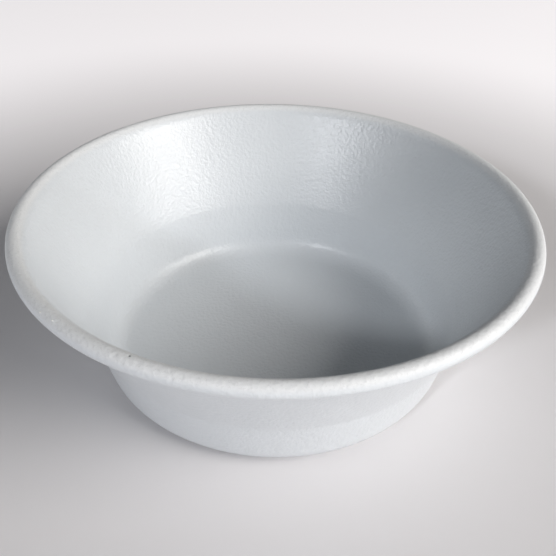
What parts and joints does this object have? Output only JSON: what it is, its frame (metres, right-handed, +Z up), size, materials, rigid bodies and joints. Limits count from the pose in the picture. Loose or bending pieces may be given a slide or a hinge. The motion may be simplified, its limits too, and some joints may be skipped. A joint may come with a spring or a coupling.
{
  "type": "round flared ward bowl",
  "caption": "Round flared bowl with a flat floor, a conical wall and an edge rolled round a wire, pressed from sheet steel and coated in satin pale grey.",
  "frame": {"origin": "centre of the underside, on the surface the bowl stands on", "axes": "+Z up along the bowl's axis, out of its mouth"},
  "size_m": [0.2, 0.2, 0.068],
  "materials": {
    "grey_coat": "satin with a fine orange-peel texture",
    "sheet_steel": "as pressed, under the coat",
    "wire_steel": "bright drawn wire"
  },
  "bodies": {
    "root": {"bowl_pressing": "sheet_steel", "rim_wire": "wire_steel", "inner_coat": "grey_coat", "outer_coat": "grey_coat"}
  },
  "joints": []
}
